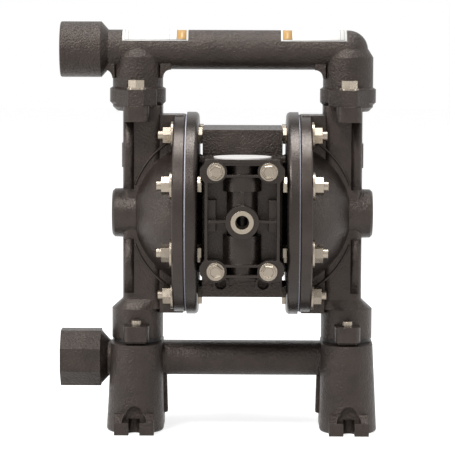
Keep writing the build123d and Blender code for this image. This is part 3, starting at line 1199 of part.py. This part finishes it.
SLIDE_BACK_Y = BLOCK_BACK_Y - PLATE_THICKNESS - RUNNING_GAP
SLIDE_FRONT_Y = SPOOL_Y + SPOOL_RADIUS + RUNNING_GAP
with BuildPart() as valve_slide:
    slab(-SLIDE_HALF_WIDTH, SLIDE_HALF_WIDTH, SLIDE_BACK_Y, SLIDE_FRONT_Y, -SLIDE_HALF_HEIGHT, SLIDE_HALF_HEIGHT)
    slab(
        -TONGUE_HALF_WIDTH,
        TONGUE_HALF_WIDTH,
        SLIDE_FRONT_Y,
        SPOOL_Y + SPOOL_WAIST_RADIUS + RUNNING_GAP,
        -SPOOL_WAIST_HALF,
        SPOOL_WAIST_HALF,
    )
save(valve_slide, "valve_slide")

# ---------------------------------------------------------------- exhaust muffler
MUFFLER_RIBS = 5
with BuildPart() as exhaust_muffler:
    with BuildSketch(Plane(origin=(0, BODY_DEPTH - 12, ROD_Z), x_dir=(-1, 0, 0), z_dir=(0, 1, 0))):
        Circle(EXHAUST_RADIUS - SLIDING_FIT)
    extrude(amount=12 + MUFFLER_NECK)
    with BuildSketch(Plane(origin=(0, BODY_DEPTH, ROD_Z), x_dir=(-1, 0, 0), z_dir=(0, 1, 0))):
        RegularPolygon(MUFFLER_HEX_RADIUS, 6)
    extrude(amount=MUFFLER_NECK)
    with BuildSketch(Plane(origin=(0, BODY_DEPTH + MUFFLER_NECK, ROD_Z), x_dir=(-1, 0, 0), z_dir=(0, 1, 0))):
        Circle(MUFFLER_RADIUS - 1.5)
    extrude(amount=MUFFLER_LENGTH)
    pitch = MUFFLER_LENGTH / MUFFLER_RIBS
    for number in range(MUFFLER_RIBS):
        start = BODY_DEPTH + MUFFLER_NECK + number * pitch
        with BuildSketch(Plane(origin=(0, start, ROD_Z), x_dir=(-1, 0, 0), z_dir=(0, 1, 0))):
            Circle(MUFFLER_RADIUS)
        extrude(amount=pitch / 2)
save(exhaust_muffler, "exhaust_muffler")
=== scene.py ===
"""Looks of an air operated diaphragm pump: black castings, stainless fasteners and two blank stickers."""

import math

import bmesh
import bpy
from mathutils import Matrix, Vector


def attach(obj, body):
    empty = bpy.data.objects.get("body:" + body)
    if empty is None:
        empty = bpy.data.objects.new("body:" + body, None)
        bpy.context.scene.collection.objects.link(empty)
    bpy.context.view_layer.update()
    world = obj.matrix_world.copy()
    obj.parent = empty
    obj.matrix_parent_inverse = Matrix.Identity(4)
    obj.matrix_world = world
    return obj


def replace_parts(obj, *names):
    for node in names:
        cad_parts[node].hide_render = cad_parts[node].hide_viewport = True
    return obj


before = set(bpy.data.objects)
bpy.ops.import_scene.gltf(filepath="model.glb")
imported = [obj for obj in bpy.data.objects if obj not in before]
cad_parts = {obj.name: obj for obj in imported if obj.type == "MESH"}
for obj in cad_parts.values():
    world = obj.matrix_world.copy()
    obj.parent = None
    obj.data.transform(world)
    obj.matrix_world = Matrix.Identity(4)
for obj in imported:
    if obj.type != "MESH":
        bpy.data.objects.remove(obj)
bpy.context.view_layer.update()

MM = 0.001
TOP_PIPE_Z = 319 * MM
PIPE_RADIUS = 16.5 * MM
ROD_Z = 182 * MM


# ---------------------------------------------------------------- colours and nodes


def srgb(code):
    """Turns a hex colour such as 1c1a18 into linear red, green, blue and alpha."""
    parts = [int(code[i:i + 2], 16) / 255 for i in (0, 2, 4)]
    return [p / 12.92 if p <= 0.04045 else ((p + 0.055) / 1.055) ** 2.4 for p in parts] + [1]


def add(material, kind, sockets=(), **settings):
    """Adds one node with its settings, and fills or links its sockets."""
    node = material.node_tree.nodes.new(kind)
    for name, value in settings.items():
        setattr(node, name, value)
    for name, value in dict(sockets).items():
        if isinstance(value, bpy.types.NodeSocket):
            material.node_tree.links.new(value, node.inputs[name])
        else:
            node.inputs[name].default_value = value
    return node


def new_material(name):
    """An empty material with its surface shader joined to its output."""
    material = bpy.data.materials.new(name)
    material.use_nodes = True
    material.node_tree.nodes.clear()
    shader = add(material, "ShaderNodeBsdfPrincipled")
    add(material, "ShaderNodeOutputMaterial", {"Surface": shader.outputs["BSDF"]})
    place = add(material, "ShaderNodeTexCoord").outputs["Object"]
    return material, shader, place


def link(material, output, shader, socket):
    """Joins a node's output to one of the shader's sockets."""
    material.node_tree.links.new(output, shader.inputs[socket])


def black_coated_casting(name, colour, worn, grain, depth, roughness, rim=None):
    """Cast metal under black epoxy: pimpled skin, gleaming edges and a smoother turned rim at x = rim."""
    material, shader, place = new_material(name)
    # the real grit is under a millimetre across, and is drawn about twice as coarse so that it shows
    pimples = add(material, "ShaderNodeTexNoise", {"Vector": place, "Scale": 1 / (grain * MM), "Detail": 3.0,
                                                   "Roughness": 0.6})
    swells = add(material, "ShaderNodeTexNoise", {"Vector": place, "Scale": 1 / (14 * MM), "Detail": 2.0})
    height = add(material, "ShaderNodeMath", {0: pimples.outputs["Fac"], 1: swells.outputs["Fac"]},
                 operation="ADD")
    rounded = add(material, "ShaderNodeBevel", {"Radius": 0.9 * MM}, samples=4)
    bump = add(material, "ShaderNodeBump", {"Height": height.outputs[0], "Normal": rounded.outputs[0],
                                            "Strength": depth, "Distance": 1.1 * MM})
    link(material, bump.outputs[0], shader, "Normal")
    if rim:
        across = add(material, "ShaderNodeSeparateXYZ", {"Vector": place})
        off_middle = add(material, "ShaderNodeMath", {0: across.outputs["X"]}, operation="ABSOLUTE")
        turned = add(material, "ShaderNodeMapRange",
                     {"Value": off_middle.outputs[0], "From Min": (rim - 0.3) * MM,
                      "From Max": (rim + 0.3) * MM, "To Min": 0.15 * depth, "To Max": depth})
        material.node_tree.links.new(turned.outputs[0], bump.inputs["Strength"])
    shader.inputs["Specular IOR Level"].default_value = 0.5
    shader.inputs["Specular Tint"].default_value = srgb("f3e4da")
    patches = add(material, "ShaderNodeValToRGB", {"Fac": swells.outputs["Fac"]})
    patches.color_ramp.elements[0].position = 0.3
    patches.color_ramp.elements[0].color = srgb(colour)
    patches.color_ramp.elements[1].position = 0.75
    patches.color_ramp.elements[1].color = srgb(worn)
    link(material, patches.outputs["Color"], shader, "Base Color")
    sheen = add(material, "ShaderNodeMapRange",
                {"Value": pimples.outputs["Fac"], "From Min": 0.3, "From Max": 0.7,
                 "To Min": roughness - 0.06, "To Max": roughness + 0.08})
    link(material, sheen.outputs[0], shader, "Roughness")
    return material


def turned_metal(name, colour, roughness, tool_mark):
    """Bare machined metal: bright, with fine tool marks that soften its highlights and a few duller spots."""
    material, shader, place = new_material(name)
    shader.inputs["Metallic"].default_value = 1
    shader.inputs["Base Color"].default_value = srgb(colour)
    marks = add(material, "ShaderNodeTexNoise",
                {"Vector": place, "Scale": 1 / (tool_mark * MM), "Detail": 2.0})
    bump = add(material, "ShaderNodeBump", {"Height": marks.outputs["Fac"],
                                            "Normal": add(material, "ShaderNodeBevel", {"Radius": 0.35 * MM},
                                                          samples=4).outputs[0],
                                            "Strength": 0.25, "Distance": 0.1 * MM})
    link(material, bump.outputs[0], shader, "Normal")
    dull = add(material, "ShaderNodeTexNoise", {"Vector": place, "Scale": 1 / (6 * MM), "Detail": 2.0})
    spots = add(material, "ShaderNodeMapRange",
                {"Value": dull.outputs["Fac"], "From Min": 0.35, "From Max": 0.7,
                 "To Min": roughness, "To Max": roughness + 0.16})
    link(material, spots.outputs[0], shader, "Roughness")
    return material


def plain_polymer(name, colour, roughness, grain, depth):
    """Moulded or turned plastic and rubber: even colour, soft gloss and a fine skin."""
    material, shader, place = new_material(name)
    shader.inputs["Base Color"].default_value = srgb(colour)
    shader.inputs["Roughness"].default_value = roughness
    skin = add(material, "ShaderNodeTexNoise", {"Vector": place, "Scale": 1 / (grain * MM), "Detail": 3.0})
    bump = add(material, "ShaderNodeBump",
               {"Height": skin.outputs["Fac"], "Strength": depth, "Distance": 0.2 * MM})
    link(material, bump.outputs[0], shader, "Normal")
    return material


ROUGH_CASTING = black_coated_casting("epoxy_coated_sand_casting", "1b1614", "2e2622", 1.9, 1.0, 0.38)
RIMMED_CASTING = black_coated_casting("epoxy_coated_casting_turned_rim", "1e1917", "322a26", 1.8, 0.55, 0.32,
                                      59)
SMOOTH_CASTING = black_coated_casting("epoxy_coated_die_casting", "171311", "241f1c", 1.2, 0.12, 0.3)
STAINLESS = turned_metal("stainless_steel_turned", "968c7f", 0.24, 0.5)
INSERT_STEEL = turned_metal("stainless_steel_insert", "9a9082", 0.3, 0.4)
ALUMINIUM = turned_metal("machined_aluminium", "cfd0d1", 0.32, 0.6)
# the spool is machined aluminium; its colour is darkened here as painted shade, so that it shows dark down the
# bore of the air inlet
SPOOL_DARKENED_AS_PAINTED_SHADE = turned_metal("aluminium_darkened_as_painted_shade", "3a3836", 0.4, 0.6)
# PTFE_GREYED_AS_PAINTED_SHADE is white; its colour is greyed here as painted shade, for the diaphragm rim that
# shows in the narrow gap between the caps
PTFE_GREYED_AS_PAINTED_SHADE = plain_polymer("ptfe_sheet_greyed_as_painted_shade", "a9a8b4", 0.5, 1.5, 0.15)
ACETAL = plain_polymer("acetal_turned", "dcd8c6", 0.35, 0.8, 0.15)
RUBBER = plain_polymer("nitrile_rubber", "161616", 0.6, 0.8, 0.3)
BLACK_SEAT = plain_polymer("glass_filled_polypropylene", "211d1b", 0.5, 0.8, 0.3)
MUFFLER_PLASTIC = plain_polymer("sintered_polyethylene", "1b1b1c", 0.75, 1.0, 0.8)
DISC_WHITE = plain_polymer("white_polyethylene_disc", "e2e0de", 0.35, 1.2, 0.1)

FINISHES = {
    ROUGH_CASTING: ["center_body", "outlet_manifold", "inlet_manifold"],
    RIMMED_CASTING: ["fluid_cap_left", "fluid_cap_right"],
    SMOOTH_CASTING: ["air_cap_left", "air_cap_right", "valve_block", "spool_plug"],
    STAINLESS: ["cap_bolts_left", "cap_bolts_right", "cap_nuts_left", "cap_nuts_right", "cap_washers_left",
                "cap_washers_right", "outlet_manifold_bolts", "inlet_manifold_bolts", "valve_block_screws",
                "air_cap_screws_left", "air_cap_screws_right", "fluid_side_washer_left",
                "fluid_side_washer_right", "diaphragm_screw_left", "diaphragm_screw_right",
                "diaphragm_rod", "pilot_rod", "valve_plate"],
    INSERT_STEEL: ["air_inlet_insert"],
    ALUMINIUM: ["air_side_washer_left", "air_side_washer_right"],
    SPOOL_DARKENED_AS_PAINTED_SHADE: ["main_spool"],
    PTFE_GREYED_AS_PAINTED_SHADE: ["diaphragm_left", "diaphragm_right", "outlet_left_ball", "outlet_right_ball", "inlet_left_ball",
           "inlet_right_ball"],
    BLACK_SEAT: ["outlet_left_seat", "outlet_right_seat", "inlet_left_seat", "inlet_right_seat"],
    ACETAL: ["rod_bushing_left", "rod_bushing_right", "pilot_sleeve", "valve_slide"],
    RUBBER: ["air_cap_gasket_left", "air_cap_gasket_right", "backup_diaphragm_left", "backup_diaphragm_right",
             "valve_gasket"],
    MUFFLER_PLASTIC: ["exhaust_muffler"],
    DISC_WHITE: ["top_disc"],
}
for finish, nodes in FINISHES.items():
    for node in nodes:
        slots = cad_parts[node].data.materials
        slots.clear()
        slots.append(finish)


# ---------------------------------------------------------------- raised lines of the fluid caps

BEAD_CENTRE_X = 21.2 * MM
BEAD_ARC_RADIUS = 72.8 * MM
COLUMN_FRONT = 16.5 * MM
BEAD_RADIUS = 1.1 * MM
RIB_X = (90.6, 99.2)
RIB_Y = (11, 19.5)
RIB_ROUNDING = 3.2
LUG_FOOT_X = (80, 96)
LUG_FOOT_Y = (20, 35.5)
LUG_FOOT_Z = (74.1, 77.4)
LUG_FOOT_ROUNDING = 0.6
# where each rib begins and ends in height, and each bead in angle round the dome
RIBS_AND_BEADS = (("upper", 203, 262, 20, 56), ("lower", 116, 161, -56, -20))


def body_piece(name, shape, material, smooth=False):
    """Puts a finished bmesh in the scene, with faces turned outwards, riding on the pump's body."""
    bmesh.ops.recalc_face_normals(shape, faces=shape.faces)
    mesh = bpy.data.meshes.new(name)
    shape.to_mesh(mesh)
    shape.free()
    mesh.materials.append(material)
    if smooth:
        mesh.shade_smooth()
    piece = bpy.data.objects.new(name, mesh)
    bpy.context.collection.objects.link(piece)
    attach(piece, "root")
    return piece


def raised_bar(name, low, high, rounding):
    """An upright raised bar between two corners in millimetres, with its long edges rounded."""
    shape = bmesh.new()
    bmesh.ops.create_cube(shape, size=1)
    for point in shape.verts:
        point.co = [(a + b) / 2 * MM + share * (b - a) * MM for a, b, share in zip(low, high, point.co)]
    upright = [edge for edge in shape.edges if abs(edge.verts[0].co.z - edge.verts[1].co.z) > 0.1 * MM]
    bmesh.ops.bevel(shape, geom=upright, offset=rounding * MM, segments=4, profile=0.5, affect="EDGES",
                    material=-1)
    body_piece(name, shape, RIMMED_CASTING, smooth=True)


def dome_bead(name, side, face, start, end):
    """A raised line where the dome runs into the flat face of its column, from one angle to another."""
    centre = Vector((side * BEAD_CENTRE_X, face * COLUMN_FRONT, ROD_Z))
    shape = bmesh.new()
    ring = bmesh.ops.create_circle(shape, cap_ends=True, segments=12, radius=BEAD_RADIUS)["verts"]
    out = Vector((side * math.cos(math.radians(start)), 0, math.sin(math.radians(start))))
    turn = Matrix.Rotation(math.atan2(out.z, out.x), 4, "Y").inverted()
    bmesh.ops.transform(shape, matrix=Matrix.Translation(centre + out * BEAD_ARC_RADIUS) @ turn, verts=ring)
    bmesh.ops.spin(shape, geom=shape.faces[:] + shape.edges[:] + shape.verts[:], cent=centre,
                   axis=(0, -side, 0), angle=math.radians(end - start), steps=24)
    bmesh.ops.remove_doubles(shape, verts=shape.verts, dist=0.01 * MM)
    body_piece(name, shape, RIMMED_CASTING, smooth=True)


def mirrored(span, sign):
    """The two ends of a span on the side that sign says, lesser first."""
    return sorted(sign * end for end in span)


for side, name in ((-1, "left"), (1, "right")):
    for face, way in ((-1, "front"), (1, "back")):
        rib_x, rib_y = mirrored(RIB_X, side), mirrored(RIB_Y, face)
        foot_x, foot_y = mirrored(LUG_FOOT_X, side), mirrored(LUG_FOOT_Y, face)
        for part, bottom, top, start, end in RIBS_AND_BEADS:
            raised_bar(f"column_rib_{name}_{way}_{part}", (rib_x[0], rib_y[0], bottom),
                       (rib_x[1], rib_y[1], top), RIB_ROUNDING)
            dome_bead(f"dome_bead_{name}_{way}_{part}", side, face, start, end)
        raised_bar(f"lug_foot_{name}_{way}", (foot_x[0], foot_y[0], LUG_FOOT_Z[0]),
                   (foot_x[1], foot_y[1], LUG_FOOT_Z[1]), LUG_FOOT_ROUNDING)


# ---------------------------------------------------------------- valve block screws, rings round bolt heads

BLOCK_FRONT = -88 * MM
SCREW_X = 21.4 * MM
SCREW_Z = 40.5 * MM
BOLT_CIRCLE = 72 * MM
BOLTS_PER_CAP = 8
FIRST_BOLT_ANGLE = 22.5
RING_X = 39.4 * MM
RING_RADIUS = 9.3 * MM
RING_LENGTH = 5 * MM
RING_WALL = 1.0 * MM
SCREW_SHANK_RADIUS = 2.8
SCREW_SHANK_END = -44.5
FLANGE_RADII = (7.8, 7.2)
FLANGE_THICKNESS = 1.4
HEXAGON_RADIUS = 6.2
HEXAGON_SPAN = (1, 5.3)


def add_barrel(shape, sides, back_radius, front_radius, back, front):
    """Adds a closed barrel or prism along Z between two heights in millimetres over the face under the head."""
    made = bmesh.ops.create_cone(shape, cap_ends=True, segments=sides, radius1=back_radius * MM,
                                 radius2=front_radius * MM, depth=(front - back) * MM)["verts"]
    bmesh.ops.translate(shape, vec=(0, 0, (front + back) / 2 * MM), verts=made)
    return made


def flanged_screw(name, x, z, turn):
    """A hexagon screw with its own flange: six flats with a chamfered rim and a shallow dish in its face."""
    shape = bmesh.new()
    add_barrel(shape, 32, SCREW_SHANK_RADIUS, SCREW_SHANK_RADIUS, SCREW_SHANK_END, HEXAGON_SPAN[0])
    add_barrel(shape, 40, *FLANGE_RADII, 0, FLANGE_THICKNESS)
    head = add_barrel(shape, 6, HEXAGON_RADIUS, HEXAGON_RADIUS, *HEXAGON_SPAN)
    sides = {side for point in head for side in point.link_faces}
    face = max(sides, key=lambda side: side.calc_center_median().z)
    bmesh.ops.inset_individual(shape, faces=[face], thickness=0.7 * MM, depth=0.7 * MM)
    bmesh.ops.inset_individual(shape, faces=[face], thickness=0.7 * MM)
    bmesh.ops.inset_individual(shape, faces=[face], thickness=0.6 * MM, depth=-0.7 * MM)
    stand = Matrix.Translation((x, BLOCK_FRONT, ROD_Z + z)) @ Matrix.Rotation(math.radians(90), 4, "X")
    bmesh.ops.transform(shape, matrix=stand @ Matrix.Rotation(math.radians(turn), 4, "Z"), verts=shape.verts)
    return body_piece(name, shape, STAINLESS)


for place, x, z, turn in (("upper_left", -SCREW_X, SCREW_Z, 12), ("upper_right", SCREW_X, SCREW_Z, 34),
                          ("lower_left", -SCREW_X, -SCREW_Z, 52), ("lower_right", SCREW_X, -SCREW_Z, 25)):
    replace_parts(flanged_screw("valve_block_screw_" + place, x, z, turn), "valve_block_screws")

for side, name in ((-1, "left"), (1, "right")):
    rings = bmesh.new()
    for count in range(BOLTS_PER_CAP):
        angle = math.radians(FIRST_BOLT_ANGLE + 360 / BOLTS_PER_CAP * count)
        wall = bmesh.ops.create_cone(rings, cap_ends=False, segments=32, radius1=RING_RADIUS,
                                     radius2=RING_RADIUS, depth=RING_LENGTH)["verts"]
        spot = (side * RING_X, BOLT_CIRCLE * math.cos(angle), ROD_Z + BOLT_CIRCLE * math.sin(angle))
        stand = Matrix.Translation(spot) @ Matrix.Rotation(math.radians(90), 4, "Y")
        bmesh.ops.transform(rings, matrix=stand, verts=wall)
    bmesh.ops.recalc_face_normals(rings, faces=rings.faces)
    bmesh.ops.solidify(rings, geom=rings.faces[:], thickness=RING_WALL)
    body_piece("bolt_head_rings_" + name, rings, SMOOTH_CASTING)


# ---------------------------------------------------------------- stickers


def sticker_vinyl(name, colour):
    """Printed vinyl film: flat colour under a soft gloss, with slight waves from the casting below."""
    return plain_polymer(name, colour, 0.38, 5.0, 0.12)


STICKER_WHITE = sticker_vinyl("sticker_vinyl_white", "e9e7e3")
STICKER_GREY = sticker_vinyl("sticker_print_grey", "9a9a9b")
STICKER_TAN = sticker_vinyl("sticker_print_tan", "b08a50")
FILM_THICKNESS = 0.12 * MM
RULE_LIFT = 0.14
RULE_HALF_WIDTH = 0.2


def wrapped_patch(name, x_from, x_to, low, high, lift, material):
    """A thin patch that follows the top pipe between two x values and between two angles over its front."""
    patch = bmesh.new()
    start = Vector((x_from * MM, -math.cos(math.radians(low)) * (PIPE_RADIUS + lift * MM),
                    TOP_PIPE_Z + math.sin(math.radians(low)) * (PIPE_RADIUS + lift * MM)))
    ends = [patch.verts.new(start), patch.verts.new((x_to * MM, start.y, start.z))]
    edge = patch.edges.new(ends)
    steps = max(2, int((high - low) / 4))
    bmesh.ops.spin(patch, geom=[*ends, edge], cent=(0, 0, TOP_PIPE_Z), axis=(1, 0, 0),
                   angle=-math.radians(high - low), steps=steps)
    piece = body_piece(name, patch, material, smooth=True)
    film = piece.modifiers.new("film", "SOLIDIFY")
    film.thickness = FILM_THICKNESS
    film.offset = 1


def printed_frame(side, rules, x_left, x_right):
    """Thin grey rules round a blank sticker: one along its lower edge and one up at each place in rules."""
    wrapped_patch(f"sticker_{side}_rule", x_left, x_right, 30, 31.6, RULE_LIFT, STICKER_GREY)
    for count, x in enumerate(rules, 1):
        wrapped_patch(f"sticker_{side}_rule_{count}", x - RULE_HALF_WIDTH, x + RULE_HALF_WIDTH, 30, 150,
                      RULE_LIFT, STICKER_GREY)


printed_frame("left", (-98.4, -95.5, -61.5, -55.2), -98.4, -47.2)
printed_frame("right", (40.9, 47.2, 81.0, 84.2), 33, 84.2)

# side, the sticker's two ends along x, and those of its tan block
STICKERS = (("left", -100.6, -45.6, -55.0, -47.2), ("right", 31.6, 86.4, 33.0, 40.6))
for side, x_left, x_right, tan_left, tan_right in STICKERS:
    wrapped_patch("sticker_" + side, x_left, x_right, 27, 153, 0.02, STICKER_WHITE)
    wrapped_patch("sticker_" + side + "_block", tan_left, tan_right, 31, 80, 0.12, STICKER_TAN)


# ---------------------------------------------------------------- floor, light and camera


def seen_directly(owner):
    """One for camera, glossy and transmission rays and nought for the rest, so that only lighting rays differ."""
    rays = add(owner, "ShaderNodeLightPath").outputs
    seen = add(owner, "ShaderNodeMath", {0: rays["Is Camera Ray"], 1: rays["Is Glossy Ray"]},
               operation="MAXIMUM")
    return add(owner, "ShaderNodeMath", {0: seen.outputs[0], 1: rays["Is Transmission Ray"]},
               operation="MAXIMUM").outputs[0]


def floor_material():
    """A pale sweep: pure white to the camera and in reflections, and still darker where the pump shades it."""
    material, shader, _ = new_material("studio_sweep")
    shader.inputs["Base Color"].default_value = srgb("bdbdbd")
    shader.inputs["Roughness"].default_value = 0.9
    glow = add(material, "ShaderNodeMath", {0: seen_directly(material), 1: 0.8}, operation="MULTIPLY")
    shader.inputs["Emission Color"].default_value = (1, 1, 1, 1)
    link(material, glow.outputs[0], shader, "Emission Strength")
    return material


sweep = bmesh.new()
bmesh.ops.create_grid(sweep, x_segments=1, y_segments=1, size=6)
sweep_mesh = bpy.data.meshes.new("floor")
sweep.to_mesh(sweep_mesh)
sweep.free()
sweep_mesh.materials.append(floor_material())
floor = bpy.data.objects.new("floor", sweep_mesh)
bpy.context.collection.objects.link(floor)

world = bpy.data.worlds.new("studio_white")
bpy.context.scene.world = world
world.use_nodes = True
world.node_tree.nodes.clear()
level = add(world, "ShaderNodeMapRange", {"Value": seen_directly(world), "To Min": 0.2, "To Max": 1.0})
sky = add(world, "ShaderNodeBackground", {"Color": (1, 1, 1, 1), "Strength": level.outputs[0]})
add(world, "ShaderNodeOutputWorld", {"Surface": sky.outputs[0]})


def softbox(name, place, aim, width, height, power):
    """A rectangular soft light that points from its place at a point of the pump."""
    lamp = bpy.data.lights.new(name, "AREA")
    lamp.shape = "RECTANGLE"
    lamp.size = width
    lamp.size_y = height
    lamp.energy = power
    box = bpy.data.objects.new(name, lamp)
    bpy.context.collection.objects.link(box)
    box.location = place
    box.rotation_euler = (Vector(aim) - Vector(place)).to_track_quat("-Z", "Y").to_euler()


softbox("key_softbox", (-0.9, -1.5, 2.0), (0, 0, 0.18), 0.9, 0.5, 52)
softbox("top_softbox", (0.1, 0.0, 2.2), (0, 0, 0.18), 1.0, 0.6, 30)
softbox("left_softbox", (-2.2, -0.7, 0.7), (0, 0, 0.18), 0.4, 1.0, 12)
softbox("right_softbox", (2.2, -0.7, 0.7), (0, 0, 0.18), 0.4, 1.0, 9)

AIM = Vector((-0.01462, 0, 0.1717))
DISTANCE = 2.2
eye = bpy.data.cameras.new("camera")
camera = bpy.data.objects.new("camera", eye)
bpy.context.collection.objects.link(camera)
turn = (Matrix.Rotation(math.radians(0.493), 4, "Z") @ Matrix.Rotation(math.radians(90 - 5.113), 4, "X")
        @ Matrix.Rotation(math.radians(0.217), 4, "Z"))
camera.matrix_world = Matrix.Translation(AIM) @ turn @ Matrix.Translation((0, 0, DISTANCE))
eye.sensor_width = 36
eye.lens = 209.03
eye.clip_end = 50
bpy.context.scene.camera = camera
bpy.context.scene.view_settings.view_transform = "Standard"
